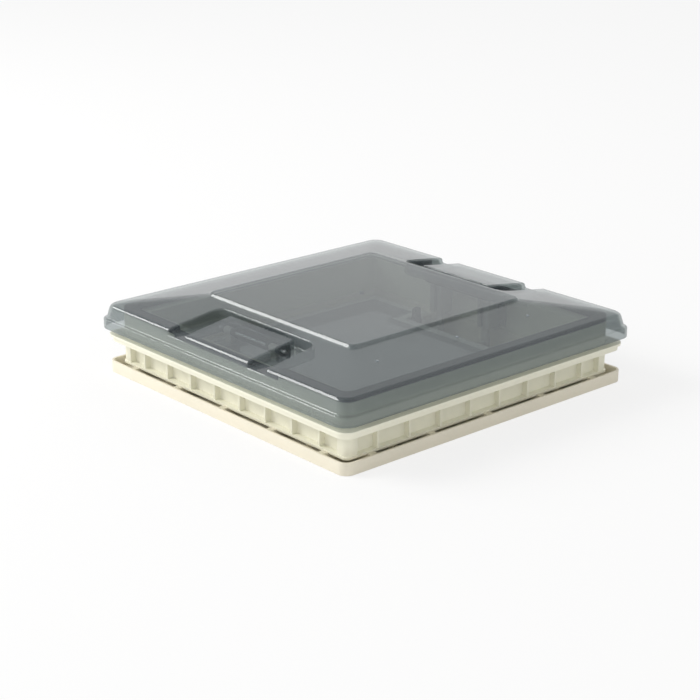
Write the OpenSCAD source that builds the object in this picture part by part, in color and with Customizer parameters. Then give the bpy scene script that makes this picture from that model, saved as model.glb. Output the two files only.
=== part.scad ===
// Push-up roof vent: smoked dome on two lift handles, ribbed base frame, inner trim frame and fly screen.
// Origin: centre of the trim frame's underside. +Z points up through the roof, -Y is the front.

/* [Roof opening] */
// Width of the square hole that is cut in the roof
cutout_w = 400; // [340:5:480]
// Gap between that hole and the spigot, on each side
cutout_gap = 2; // [1:0.5:4]

/* [Base frame] */
// Thickness of the base frame's walls
frame_wall = 3; // [2:0.5:4]
// Height of the spigot's lower edge
spigot_z = 3; // [3:0.5:6]
// Corner radius of the spigot
spigot_r = 10; // [6:1:14]
// Height of the foot's underside, which lies on the roof
foot_z = 12; // [11:0.5:16]
// Clear gap between the spigot and the ribbed band behind it
band_gap = 11.5; // [10:0.5:16]
// How far the foot stands out beyond the band
foot_reach = 9; // [6:0.5:14]
// Height of the rain shelf's underside
shelf_z = 49; // [44:1:51]
// How far the rain shelf stands out beyond the foot
shelf_reach = 15; // [12:0.5:20]
// Depth of the drip skirt below the shelf
skirt_h = 6.4; // [4:0.2:10]
// How far the skirt is set back from the shelf's edge
skirt_inset = 3.2; // [1:0.2:5]
// Thickness of the drip skirt
skirt_t = 2.5; // [2:0.1:3]
// How far the upstand stands out beyond the band
upstand_reach = 9.5; // [8:0.5:12]
// Height of the upstand's top
upstand_top = 80; // [70:0.5:96]
// How much lower that top is beneath each hinge pocket
upstand_dip = 5; // [5:0.5:7]
// Number of ribs on each side of the band
rib_count = 8; // [4:1:12]
// Width of a rib
rib_w = 3; // [2:0.5:6]
// How far the ribs stay behind the foot's edge
rib_setback = 1; // [0.5:0.5:4]
// Length of the short bay at each end of the band
end_bay = 31.5; // [20:0.5:45]
// Width of the solid corner posts of the band
post_w = 17.5; // [12:0.5:24]
// Number of inner gussets on each side
gusset_count = 4; // [2:1:6]

/* [Trim frame] */
// Height of the trim frame's outer rim
ring_h = 15.4; // [13:0.2:20]
// Thickness of its outer rim
ring_wall = 3; // [2:0.5:5]
// Thickness of its flat underside plate
ring_plate = 2.5; // [2:0.25:4]
// Clear channel between the foot's edge and the rim
ring_channel = 10.5; // [8:0.5:16]
// Corner radius of the trim frame
ring_r = 13; // [10:1:20]
// Gap between the spigot and the sleeve inside it
sleeve_gap = 1; // [0.5:0.25:2]
// Thickness of the sleeve
sleeve_wall = 2.5; // [2:0.25:3.5]
// Height of the sleeve's top edge
sleeve_top = 33; // [30:0.5:35]
// Width of the bridges across the channel
bridge_w = 10; // [6:1:16]
// Height of those bridges outside the foot
bridge_h = 13.5; // [12:0.5:15]
// Distance from the rim's outside to the middle of the last bridge
bridge_end = 49; // [40:1:60]

/* [Frame screws] */
// Shank diameter of the screws that join the two frames
screw_d = 3.5; // [3:0.1:4.5]
// Length of those screws below the head
screw_len = 28; // [20:1:30]
// Head diameter of those screws
screw_head_d = 8; // [7:0.5:9]
// Head height of those screws
screw_head_h = 2.6; // [2:0.2:3]
// Thickness of the caps that hide them
cap_t = 1.2; // [1:0.1:1.4]
// Distance of the outer screws from the middle of a side
screw_span = 140; // [120:5:150]
// Outer diameter of the screw bosses
boss_d = 13; // [12:0.5:15]

/* [Rim seal] */
// Width of the rubber seal on the upstand
seal_w = 11; // [8:0.5:14]
// Gap left between the seal and the closed dome
seal_gap = 0.5; // [0.3:0.1:1]

/* [Dome] */
// Thickness of the dome's moulding
dome_wall = 3; // [2:0.5:4]
// Gap between the rain shelf and the lip's lower edge
lip_gap = 8.2; // [8:0.2:12]
// Height of the lip up to the ledge
lip_h = 13.1; // [10:0.1:15]
// How far the lip stands out beyond the rain shelf
lip_reach = 5.95; // [5:0.05:9]
// Corner radius of the lip
lip_r = 19; // [14:1:26]
// Width of the ledge on top of the lip
ledge_w = 4; // [2:0.5:6]
// Height of the upright wall above the upstand
wall_rise = 4; // [2:0.5:6]
// How much the wall leans in up to there
wall_draft = 2.3; // [1:0.1:4]
// How far the shoulder is set in from the lip
shoulder_in = 10.95; // [9:0.05:14]
// Height of the shoulder above the upstand
shoulder_rise = 11.6; // [10:0.2:14]
// Width of the slope from the shoulder up to the panel
slope_w = 88.5; // [80:0.5:110]
// Corner radius of the raised square panel
plateau_r = 9; // [5:1:20]
// Height above the upstand at which the slope meets the panel
slope_rise = 25; // [23:0.5:27]
// Height of the panel's top above the upstand
dome_rise = 28.9; // [27:0.1:32]
// Width of the step round the panel
step_w = 3; // [2:0.5:5]

/* [Hinge pockets] */
// Width of each pocket in the dome
pocket_w = 188; // [176:1:196]
// Corner radius at the back of the pocket
pocket_r = 14; // [8:1:18]
// Width of the hinge housing between the two lobes
housing_w = 124; // [122:1:132]
// How far the pocket's floor at the dome's edge lies below the pins
floor_drop = 6; // [5.5:0.1:6.5]
// Rise of that floor towards the middle, in degrees
floor_angle = 3; // [2:0.5:4]
// From the pin to the back of the housing
housing_back = 16; // [15:0.5:18]
// Width of the gutter behind the housing
gutter_w = 8; // [6:0.5:12]

/* [Hinges] */
// Diameter of the hinge pins
pin_d = 4; // [3:0.5:5]
// Diameter of the pins' heads and clips
pin_head_d = 5.4; // [4.6:0.2:5.6]
// Height of the pins above the upstand when the dome is shut
pin_rise = 10; // [9.5:0.1:10.5]
// Distance of the pins from the spigot's inner face
pin_inset = 15; // [14:0.5:17]
// Outer diameter of the knuckles
knuckle_d = 10; // [9:0.5:10.5]
// Radial running clearance of every pin
pin_fit = 0.05; // [0.02:0.01:0.1]
// Side clearance beside each knuckle
knuckle_gap = 0.5; // [0.3:0.1:1]
// Width of the hinge block's ears
ear_w = 6; // [4:0.5:7]

/* [Handles] */
// Distance of each leg from the middle of the handle
leg_x = 44; // [40:0.5:45]
// Width of a leg
leg_w = 12; // [10:0.5:13]
// Thickness of a leg
leg_t = 5; // [4:0.5:6]
// Height of the handle's lower edge
handle_z = 4.5; // [4:0.5:8]
// Diameter of the grip bar
grip_d = 12; // [10:0.5:14]
// How far the grip stands inward from the legs
grip_offset = 19; // [17:0.5:22]
// Length of the grip bar
grip_len = 124; // [116:1:126]
// Width of the arms between legs and grip
arm_w = 6; // [5:0.5:7]
// Spacing of the detent notches in the legs
notch_pitch = 10; // [8:1:20]
// Depth of a detent notch
notch_depth = 1.5; // [1:0.1:2]
// Largest tilt of the dome, in degrees
tilt_max = 7; // [5:0.5:7]

/* [Leg guides] */
// Height of the guides' lower end
guide_z = 36; // [35:0.5:40]
// How far the guides end below the top of the upstand
guide_below = 5; // [4:0.5:10]
// Wall thickness of a guide
guide_wall = 2.5; // [2:0.25:3]
// Running clearance beside a leg
guide_fit = 0.3; // [0.2:0.1:0.6]
// Room for the detent spring beside a leg
spring_room = 3; // [2.5:0.1:4]
// Thickness of the spring leaf
spring_t = 0.6; // [0.4:0.1:0.8]
// Gap between the spring's bump and the leg
spring_gap = 0.3; // [0.2:0.1:0.5]
// Width of the slot that the arms pass through
slot_w = 8; // [7:0.5:9]
// Shank diameter of the guide screws
guide_screw_d = 3; // [2.5:0.1:3.5]

/* [Turn latches] */
// Distance of the latch's axis beyond the end of the grip
latch_out = 8; // [7.5:0.5:12]
// Height of the latch's axis
latch_z = 22; // [21.5:0.5:24]
// Diameter of the latch's hub
latch_hub_d = 12; // [10:0.5:13]
// Length of the latch's tongue from its axis
latch_len = 18; // [16:0.5:20]
// Width of the tongue
latch_w = 7; // [6:0.5:8]

/* [Fly screen] */
// Height of the screen frame's underside
screen_z = 18; // [17.5:0.5:19]
// Thickness of the screen frame
screen_t = 6; // [5.5:0.5:7]
// Width of its rails
rail_w = 18; // [17:0.5:22]
// Gap between the screen frame and the sleeve
screen_gap = 1; // [0.5:0.1:1.5]
// Thickness of the mesh
mesh_t = 0.6; // [0.4:0.1:1]
// Corner radius of the screen frame and its mesh
screen_r = 4; // [4:0.5:8]
// Clear space round each handle and its latch
bay_gap = 5; // [4:0.5:8]
// Travel of the slide bolts
slide_travel = 4; // [3:0.5:5]
// Clearance round the slide bolts
slide_fit = 0.1; // [0.05:0.05:0.2]

/* [Hidden] */
$fn = 48;
e = 0.01;                                     // overlap that lets joined shapes fuse
spigot_h = cutout_w / 2 - cutout_gap;         // half widths, from the middle outwards
spigot_in = spigot_h - frame_wall;
band_in = spigot_h + band_gap;
band_h = band_in + frame_wall;
foot_h = band_h + foot_reach;
upstand_h = band_h + upstand_reach;
shelf_h = foot_h + shelf_reach;
ring_half = foot_h + ring_channel + ring_wall;
sleeve_h = spigot_in - sleeve_gap;
sleeve_in = sleeve_h - sleeve_wall;
foot_fit = 0.3;                               // gap between the foot's edge and the bridges
spigot_fit = 0.5;                             // gap round the spigot's edge in the trim frame
lip_half = shelf_h + lip_reach;
wall_half = lip_half - ledge_w;
lip_z = shelf_z + frame_wall + lip_gap;       // heights, from the rain shelf upwards
ledge_z = lip_z + lip_h;
guide_top = upstand_top - guide_below;
pin_z = upstand_top + pin_rise;
floor_z = pin_z - floor_drop;
wall_top = upstand_top + wall_rise;
shoulder_z = upstand_top + shoulder_rise;
slope_top = upstand_top + slope_rise;
dome_top = upstand_top + dome_rise;           // the vent's full height
slope_h = lip_half - shoulder_in;             // half widths of the slope's two edges
slope_in = slope_h - slope_w;
panel_half = slope_in - step_w;
corner_h = foot_h - post_w;                   // where the band's bays end
gusset_pitch = 2 * corner_h / (gusset_count + 1);
rib_pitch = 2 * (corner_h - end_bay) / (rib_count - 1);
bridge_pitch = (ring_half - bridge_end) / 2;
boss_h = (spigot_h + band_in) / 2;            // screws lie midway between spigot and band
pin_y = spigot_in - pin_inset;
pocket_h = pocket_w / 2;
dip_h = pocket_h + 9;                         // the upstand is lowered a little beyond the pocket
dip_depth = 60;
pocket_back = pin_y - housing_back - gutter_w;
housing_y = pin_y - housing_back;
housing_h = housing_w / 2;
block_web = 4;                                // thickness of the hinge block's web
block_drop = 12;                              // how far that web reaches below the pins
pin_over = 0.5;                               // how far the pins pass the housing's ends
grip_y = pin_y - grip_offset;
grip_z = handle_z + grip_d / 2;
span_play = 2 * pin_y * (1 - cos(tilt_max));  // inward swing of a raised pin
channel_x0 = leg_x - leg_w / 2 - guide_fit;
channel_x1 = leg_x + leg_w / 2 + spring_room;
channel_y0 = pin_y + leg_t / 2 + guide_fit;
channel_y1 = pin_y - leg_t / 2 - span_play - guide_fit;
guide_front = channel_y1 - guide_wall;
ear_len = 11;                                 // length of a guide's screw ear
ear_t = 4;
guide_screw_pitch = 20;
spring_z = (guide_z + guide_top) / 2;
latch_x = grip_len / 2 + latch_out;
latch_pin_d = pin_d;
latch_y = grip_y - grip_d / 2;                // room-side face of the latch
latch_t = grip_d - 2;
latch_gap = 0.3;
latch_pin_grip = 12;                          // length of the latch pins inside their posts
bay_h = latch_x + latch_hub_d / 2 + bay_gap;
bay_y = grip_y - grip_d / 2 - bay_gap;
screen_h = sleeve_in - screen_gap;
screen_top = screen_z + screen_t;
stop_y = 110;                                 // distance of the screen's stops from the middle of a side
bolt_fit = 0.3;                               // gap round a slide bolt in the sleeve
mesh_lap = 5;                                 // how far the mesh lies on the rails
slide_x = screen_h - rail_w;                  // inner edge of the side rails
slide_z0 = screen_z + 1.5;
slide_t = 3;
slide_w = 20;
nub_w = 10;
nub_d = 4;

// Outline of a square with round corners: half width h, corner radius r
module round_square(h, r) {
    square([2 * h, 2 * (h - r)], center = true);
    square([2 * (h - r), 2 * h], center = true);
    for (i = [-1, 1], j = [-1, 1]) translate([i * (h - r), j * (h - r)]) circle(r);
}

// Block of that outline between heights z0 and z1
module block(h, r, z0, z1) {
    translate([0, 0, z0]) linear_extrude(z1 - z0) round_square(h, r);
}

// Square ring from half width h1 out to h2, with corner radii r1 and r2
module ring(h1, h2, r1, r2, z0, z1) {
    translate([0, 0, z0]) linear_extrude(z1 - z0) difference() {
        round_square(h2, r2);
        round_square(h1, r1);
    }
}

// Box given by its two corners
module box(a, b) { translate(a) cube(b - a); }

// Copies on all four sides of the vent
module four_sides() { for (i = [0:3]) rotate([0, 0, 90 * i]) children(); }

// Cylinder along X or Y, from one coordinate to the other
module rod_x(d, x0, x1, y, z) { translate([x0, y, z]) rotate([0, 90, 0]) cylinder(d = d, h = x1 - x0); }
module rod_y(d, y0, y1, x, z) { translate([x, y0, z]) rotate([-90, 0, 0]) cylinder(d = d, h = y1 - y0); }

// Places of the frame screws on one side
screw_x = [-screw_span, 0, screw_span];

// Space above height z0 where the upstand is lowered for the hinge pockets
module dip_zone(z0) {
    for (s = [-1, 1]) box([-dip_h, s * shelf_h - dip_depth, z0], [dip_h, s * shelf_h + dip_depth, dome_top]);
}

module base_frame() color("#eeead8") difference() {
    union() {
        ring(spigot_in, spigot_h, spigot_r - frame_wall, spigot_r, spigot_z, upstand_top);
        ring(spigot_in, upstand_h, spigot_r - frame_wall, spigot_r + 4,
            upstand_top - frame_wall, upstand_top);
        ring(upstand_h - frame_wall, upstand_h, spigot_r + 1, spigot_r + 4, shelf_z, upstand_top);
        ring(band_in, shelf_h, spigot_r - 1, spigot_r + 6, shelf_z, shelf_z + frame_wall);
        ring(shelf_h - skirt_inset - skirt_t, shelf_h - skirt_inset, spigot_r + 1, spigot_r + 4,
            shelf_z - skirt_h, shelf_z + e);
        ring(band_in, band_h, spigot_r - 4, spigot_r - 1, foot_z, shelf_z + e);
        ring(band_in, foot_h, spigot_r - 4, spigot_r - 3, foot_z, foot_z + frame_wall);
        four_sides() {
            for (i = [0:rib_count - 1]) {
                y = (i - (rib_count - 1) / 2) * rib_pitch;
                box([band_h - e, y - rib_w / 2, foot_z + frame_wall - e],
                    [foot_h - rib_setback, y + rib_w / 2, shelf_z + e]);
            }
            for (i = [0:gusset_count - 1]) {
                y = (i - (gusset_count - 1) / 2) * gusset_pitch;
                box([spigot_h - e, y - 1, foot_z], [band_in + e, y + 1, shelf_z + frame_wall]);
                box([spigot_h - e, y - 1, shelf_z],
                    [upstand_h - frame_wall + e, y + 1, upstand_top - upstand_dip - e]);
            }
            for (x = screw_x) translate([boss_h, x, foot_z]) cylinder(d = boss_d, h = screw_len + 2);
        }
        intersection() {                      // solid corner posts of the band
            ring(band_h - e, foot_h - rib_setback, spigot_r - 1, spigot_r - 2, foot_z + e, shelf_z + e);
            for (i = [0:3]) rotate([0, 0, 90 * i]) translate([corner_h, corner_h, 0]) cube(dome_top);
        }
        dip_floor();
    }
    dip_zone(upstand_top - upstand_dip);
    four_sides() for (x = screw_x) translate([boss_h, x, foot_z - 1])
        cylinder(d = screw_d + 2 * pin_fit, h = screw_len);
    guide_screw_holes();
}

// Lowered top of the upstand beneath the hinge pockets
module dip_floor() intersection() {
    ring(spigot_in, upstand_h, spigot_r - frame_wall, spigot_r + 4,
        upstand_top - upstand_dip - frame_wall, upstand_top - e);
    union() {
        dip_zone(0);
        for (s = [-1, 1], t = [-1, 1])
            box([t * dip_h - frame_wall, s * shelf_h - dip_depth, 0],
                [t * dip_h + frame_wall, s * shelf_h + dip_depth, dome_top]);
    }
}

// Screw places of the leg guides, with the axis along Y
module at_guide_screws() {
    for (i = [-1, 1], j = [-1, 1])
        translate([i * (channel_x1 + guide_wall + ear_len / 2), 0, spring_z + j * guide_screw_pitch / 2])
            children();
}
module guide_screw_holes() {
    for (s = [-1, 1]) at_guide_screws()
        translate([0, s * (spigot_in + frame_wall / 2), 0]) rotate([90, 0, 0])
            cylinder(d = guide_screw_d + 2 * pin_fit, h = frame_wall + 1, center = true);
}

module inner_frame() color("#e8dfcb") difference() {
    union() {
        ring(sleeve_in, ring_half, spigot_r - frame_wall - sleeve_gap - sleeve_wall, ring_r, 0, ring_plate);
        ring(ring_half - ring_wall, ring_half, ring_r - ring_wall, ring_r, 0, ring_h);
        ring(sleeve_in, sleeve_h, spigot_r - frame_wall - sleeve_gap - sleeve_wall,
            spigot_r - frame_wall - sleeve_gap, 0, sleeve_top);
        four_sides() {
            for (i = [-2:2]) {
                y = i * bridge_pitch;
                box([foot_h + foot_fit, y - bridge_w / 2, ring_plate - e],
                    [ring_half - ring_wall + e, y + bridge_w / 2, bridge_h]);
                box([spigot_h + spigot_fit, y - bridge_w / 2, ring_plate - e],
                    [foot_h + foot_fit + e, y + bridge_w / 2, foot_z]);
            }
            for (x = screw_x) translate([boss_h, x, 0]) cylinder(d = boss_d, h = foot_z);
        }
        for (s = [0, 180]) rotate([0, 0, s])  // posts that carry the turn latches
            rod_y(latch_hub_d - 2, -sleeve_in - e, -latch_y - latch_t - latch_gap, latch_x, latch_z);
        for (s = [0, 1], t = [-1, 1]) mirror([s, 0, 0])   // stops that the fly screen is pushed up against
            box([sleeve_in - 5.5, t * stop_y - 10, screen_top],
                [sleeve_in + e, t * stop_y + 10, screen_top + 3]);
    }
    ring(spigot_in - spigot_fit, spigot_h + spigot_fit,
        spigot_r - frame_wall - spigot_fit, spigot_r + spigot_fit, ring_plate, foot_z + e);
    four_sides() for (x = screw_x) {
        translate([boss_h, x, -e]) cylinder(d = screw_head_d + 2, h = cap_t + screw_head_h + 0.2 + e);
        translate([boss_h, x, 0]) cylinder(d = screw_d + 1, h = foot_z + 1);
    }
    for (s = [0, 180]) rotate([0, 0, s]) {
        rod_y(latch_pin_d + 2 * pin_fit, -latch_y - latch_t - latch_pin_grip - 2, -latch_y, latch_x, latch_z);
        box([sleeve_in - 1, -slide_w / 2 - bolt_fit, slide_z0 - bolt_fit],
            [sleeve_h + 1, slide_w / 2 + bolt_fit, slide_z0 + slide_t + bolt_fit]);
    }
}

// Height of the dome's slope at distance h from the middle
function slope_z(h) = slope_top - (h - slope_in) * (slope_top - shoulder_z) / slope_w;
// Height of a pocket's floor at distance h from the middle
function pocket_z(h) = floor_z + (wall_half - h) * tan(floor_angle);
seal_top = slope_z(upstand_h) - dome_wall - seal_gap;
low_seal_top = pocket_z(upstand_h) - dome_wall - seal_gap;

module rim_seal() color("#2b2c2a") {
    difference() {
        ring(upstand_h - seal_w, upstand_h, spigot_r, spigot_r + 4, upstand_top, seal_top);
        dip_zone(0);
    }
    intersection() {
        ring(upstand_h - seal_w, upstand_h, spigot_r, spigot_r + 4, upstand_top - upstand_dip, low_seal_top);
        dip_zone(0);
    }
}

module frame_screws() color("#b9bdbf") four_sides() for (x = screw_x) translate([boss_h, x, cap_t + 0.2]) {
    cylinder(d = screw_head_d, h = screw_head_h);
    cylinder(d = screw_d, h = screw_head_h + screw_len - 6);
}

module screw_caps() color("#e8dfcb") four_sides() for (x = screw_x)
    translate([boss_h, x, 0]) cylinder(d = screw_head_d + 2 - 2 * pin_fit, h = cap_t);

// Half outline of the dome's roof, inset by t on every side
function roof_half(t) = [[wall_half - t, ledge_z - 2 * dome_wall], [wall_half - t, ledge_z - t],
    [wall_half - wall_draft - t, wall_top - t],
    [wall_half - wall_draft - 1.4 - t, (wall_top + shoulder_z) / 2 + 1 - t],
    [slope_h - t, shoulder_z - t], [slope_in - t, slope_top - t]];

// Dome as a solid body, inset by t
module dome_body(t) {
    half = roof_half(t);
    last = len(half) - 1;
    outline = concat(half, [for (i = [last:-1:0]) [-half[i][0], half[i][1]]]);
    intersection() {
        block(wall_half - t, lip_r - ledge_w - t, ledge_z - 2 * dome_wall, dome_top);
        translate([-300, 0, 0]) rotate([90, 0, 90]) linear_extrude(600) polygon(outline);
        translate([0, 300, 0]) rotate([90, 0, 0]) linear_extrude(600) polygon(outline);
    }
    block(slope_in - t, plateau_r + step_w, slope_top - 2 * dome_wall, slope_top + 1.5 - t);
    block(panel_half - t, plateau_r, slope_top - 2 * dome_wall, dome_top - t);
    block(lip_half - t, lip_r - t, lip_z - (t > 0 ? 1 : 0), ledge_z - t);
}

// Space of the two U-shaped pockets, grown by g
module pockets(g) for (s = [0, 1]) mirror([0, s, 0]) intersection() {
    translate([0, 0, floor_z - 10]) linear_extrude(40) difference() {
        union() {
            translate([-pocket_h - g, -wall_half - 30])
                square([2 * (pocket_h + g), wall_half + 30 - pocket_back - pocket_r]);
            translate([-pocket_h + pocket_r, -wall_half])
                square([2 * (pocket_h - pocket_r), wall_half - pocket_back + g]);
            for (i = [-1, 1])
                translate([i * (pocket_h - pocket_r), -pocket_back - pocket_r]) circle(pocket_r + g);
        }
        translate([-housing_h + g, -wall_half - 40])
            square([2 * (housing_h - g), wall_half + 40 - housing_y - g]);
    }
    translate([-150, 0, 0]) rotate([90, 0, 90]) linear_extrude(300) polygon([
        [-wall_half - 30, pocket_z(wall_half + 30) - g], [-pocket_back + 10, pocket_z(pocket_back - 10) - g],
        [-pocket_back + 10, dome_top + 5], [-wall_half - 30, dome_top + 5]]);
}

module dome() color([0.45, 0.47, 0.46, 0.55]) difference() {
    dome_body(0);
    difference() {
        dome_body(dome_wall);
        pockets(dome_wall);
    }
    pockets(0);
    for (s = [-1, 1]) rod_x(pin_d + 0.6, -housing_h - 1, housing_h + 1, s * pin_y, pin_z);
}

// Hinge block at the front: a web with four ears round the pin
module hinge_block() difference() {
    union() {
        box([-housing_h + dome_wall + 0.5, -housing_y - dome_wall - block_web, pin_z - block_drop],
            [housing_h - dome_wall - 0.5, -housing_y - dome_wall, pin_z + knuckle_d / 2]);
        for (i = [-1, 1], j = [-1, 1]) {
            x = i * leg_x + j * (leg_w / 2 + knuckle_gap + ear_w / 2);
            rod_x(knuckle_d, x - ear_w / 2, x + ear_w / 2, -pin_y, pin_z);
            box([x - ear_w / 2, -pin_y, pin_z - knuckle_d / 2],
                [x + ear_w / 2, -housing_y - dome_wall - block_web + e, pin_z + knuckle_d / 2]);
        }
    }
    rod_x(pin_d + 2 * pin_fit, -housing_w, housing_w, -pin_y, pin_z);
}
module front_hinge_block() color("#3c3f40") hinge_block();
module rear_hinge_block() color("#3c3f40") mirror([0, 1, 0]) hinge_block();

module hinge_pin() {
    rod_x(pin_d, -housing_h - pin_over - e, housing_h + 3, -pin_y, pin_z);
    rod_x(pin_head_d, -housing_h - pin_over - 1.5, -housing_h - pin_over, -pin_y, pin_z);
}
module front_hinge_pin() color("#8f9496") hinge_pin();
module rear_hinge_pin() color("#8f9496") mirror([0, 1, 0]) hinge_pin();

module pin_clips() color("#8f9496") for (s = [-1, 1]) difference() {
    rod_x(pin_head_d, housing_h + pin_over, housing_h + pin_over + 0.8, s * pin_y, pin_z);
    rod_x(pin_d + 2 * pin_fit, housing_h, housing_h + 3, s * pin_y, pin_z);
}

// Lift handle at the front: two notched legs, two arms and the grip bar
module handle() difference() {
    union() {
        for (i = [-1, 1]) {
            box([i * leg_x - leg_w / 2, -pin_y - leg_t / 2, handle_z],
                [i * leg_x + leg_w / 2, -pin_y + leg_t / 2, pin_z]);
            rod_x(knuckle_d, i * leg_x - leg_w / 2, i * leg_x + leg_w / 2, -pin_y, pin_z);
            box([i * leg_x - arm_w / 2, -pin_y, handle_z],
                [i * leg_x + arm_w / 2, -grip_y, handle_z + grip_d]);
        }
        rod_x(grip_d, -grip_len / 2, grip_len / 2, -grip_y, grip_z);
    }
    rod_x(pin_d + 2 * pin_fit, -housing_w, housing_w, -pin_y, pin_z);
    for (i = [-1, 1], z = [handle_z + 8 : notch_pitch : pin_z - knuckle_d])
        translate([i * (leg_x + leg_w / 2), -pin_y, z]) rotate([0, 45, 0])
            cube([notch_depth * sqrt(2), leg_t + 2, notch_depth * sqrt(2)], center = true);
}
module front_handle() color("#d9d6cc") handle();
module rear_handle() color("#d9d6cc") mirror([0, 1, 0]) handle();

// Two channels at the front that hold the legs upright
module guides() difference() {
    for (i = [0, 1]) mirror([i, 0, 0]) difference() {
        union() {
            box([channel_x0 - guide_wall, -spigot_in, guide_z],
                [channel_x1 + guide_wall, -guide_front, guide_top]);
            box([channel_x1 + guide_wall - e, -spigot_in, spring_z - guide_screw_pitch / 2 - 6],
                [channel_x1 + guide_wall + ear_len, -spigot_in + ear_t,
                    spring_z + guide_screw_pitch / 2 + 6]);
        }
        box([channel_x0, -channel_y0, guide_z - 1], [channel_x1, -channel_y1, guide_top + 1]);
        box([leg_x - slot_w / 2, -channel_y1 - e, guide_z - 1],
            [leg_x + slot_w / 2, -guide_front + 1, guide_top + 1]);
    }
    at_guide_screws() translate([0, -spigot_in, 0]) rotate([90, 0, 0])
        cylinder(d = guide_screw_d + 0.4, h = 2 * ear_t + 2, center = true);
}
module front_guides() color("#cfccc0") guides();
module rear_guides() color("#cfccc0") mirror([0, 1, 0]) guides();

module detent_springs() color("#a8adaf") for (i = [0, 1], j = [0, 1]) mirror([i, 0, 0]) mirror([0, j, 0]) {
    bump = spring_room - spring_t - spring_gap;
    box([channel_x1 - spring_t, -pin_y - leg_t / 2, spring_z - 14],
        [channel_x1, -pin_y + leg_t / 2, spring_z + 14]);
    intersection() {
        rod_y(2 * bump, -pin_y - leg_t / 2, -pin_y + leg_t / 2, channel_x1 - spring_t, spring_z);
        box([leg_x, -spigot_in, 0], [channel_x1 - e, 0, dome_top]);
    }
}

module guide_screws() color("#b9bdbf") for (s = [0, 1]) mirror([0, s, 0]) at_guide_screws() {
    rod_y(guide_screw_d, -spigot_h + 0.3, -spigot_in + ear_t + e, 0, 0);
    rod_y(2 * guide_screw_d, -spigot_in + ear_t, -spigot_in + ear_t + 2, 0, 0);
}

// Turn latch at the front, shown open with its tongue upwards
module latch() difference() {
    union() {
        rod_y(latch_hub_d, -latch_y - latch_t, -latch_y, latch_x, latch_z);
        box([latch_x - latch_w / 2, -latch_y - latch_t, latch_z],
            [latch_x + latch_w / 2, -latch_y - 3, latch_z + latch_len]);
        box([latch_x - 1.2, -latch_y - latch_t, latch_z + latch_hub_d / 2],
            [latch_x + 1.2, -latch_y + 2, latch_z + latch_len - 1]);
    }
    rod_y(latch_pin_d + 2 * pin_fit, -latch_y - latch_t - 1, -latch_y + 1, latch_x, latch_z);
}
module front_latch() color("#3c3f40") latch();
module rear_latch() color("#3c3f40") rotate([0, 0, 180]) latch();

module latch_pins() color("#8f9496") for (s = [0, 180]) rotate([0, 0, s]) {
    rod_y(latch_pin_d, -latch_y - latch_t - latch_pin_grip, -latch_y + latch_gap + e, latch_x, latch_z);
    rod_y(2 * latch_pin_d, -latch_y + latch_gap, -latch_y + latch_gap + 1.6, latch_x, latch_z);
}

// Plan of the fly screen, inset by t, with a bay for each handle
module screen_plan(t) difference() {
    round_square(screen_h - t, screen_r);
    for (s = [-1, 1]) translate([0, s * (bay_y + screen_h)])
        square([2 * (bay_h + t), 2 * (screen_h + t)], center = true);
}

module screen_frame() color("#efece2") difference() {
    translate([0, 0, screen_z]) linear_extrude(screen_t) difference() {
        screen_plan(0);
        screen_plan(rail_w);
    }
    translate([0, 0, screen_top - mesh_t]) linear_extrude(1) screen_plan(rail_w - mesh_lap);
    for (s = [0, 1]) mirror([s, 0, 0]) {
        box([slide_x + 2, -slide_w / 2 - slide_fit, slide_z0 - slide_fit],
            [screen_h + 1, slide_w / 2 + slide_fit, slide_z0 + slide_t + slide_fit]);
        box([slide_x + 4, -nub_w / 2 - slide_fit, screen_z - 1],
            [slide_x + 4 + nub_d + slide_travel + 1, nub_w / 2 + slide_fit, slide_z0]);
    }
}

module screen_mesh() color("#7c7f80") translate([0, 0, screen_top - mesh_t]) linear_extrude(mesh_t)
    screen_plan(rail_w - mesh_lap);

// Slide bolt of the fly screen, on its +X side
module slide() {
    box([slide_x + 2.3 + slide_travel, -slide_w / 2, slide_z0],
        [sleeve_in + 1.8, slide_w / 2, slide_z0 + slide_t]);
    box([slide_x + 4.5 + slide_travel, -nub_w / 2, screen_z - 3],
        [slide_x + 4.5 + slide_travel + nub_d, nub_w / 2, slide_z0 + e]);
}
module right_screen_slide() color("#3c3f40") slide();
module left_screen_slide() color("#3c3f40") mirror([1, 0, 0]) slide();

base_frame();
inner_frame();
rim_seal();
frame_screws();
screw_caps();
dome();
front_hinge_block();
rear_hinge_block();
front_hinge_pin();
rear_hinge_pin();
pin_clips();
front_handle();
rear_handle();
front_guides();
rear_guides();
detent_springs();
guide_screws();
front_latch();
rear_latch();
latch_pins();
screen_frame();
screen_mesh();
left_screen_slide();
right_screen_slide();
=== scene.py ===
"""Push-up roof vent: finish of its dome, frames, seal, handles and fly screen, and a studio to look at it in."""

import math

import bmesh
import bpy
from bpy.props import FloatProperty, FloatVectorProperty, PointerProperty
from mathutils import Matrix, Vector


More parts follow.
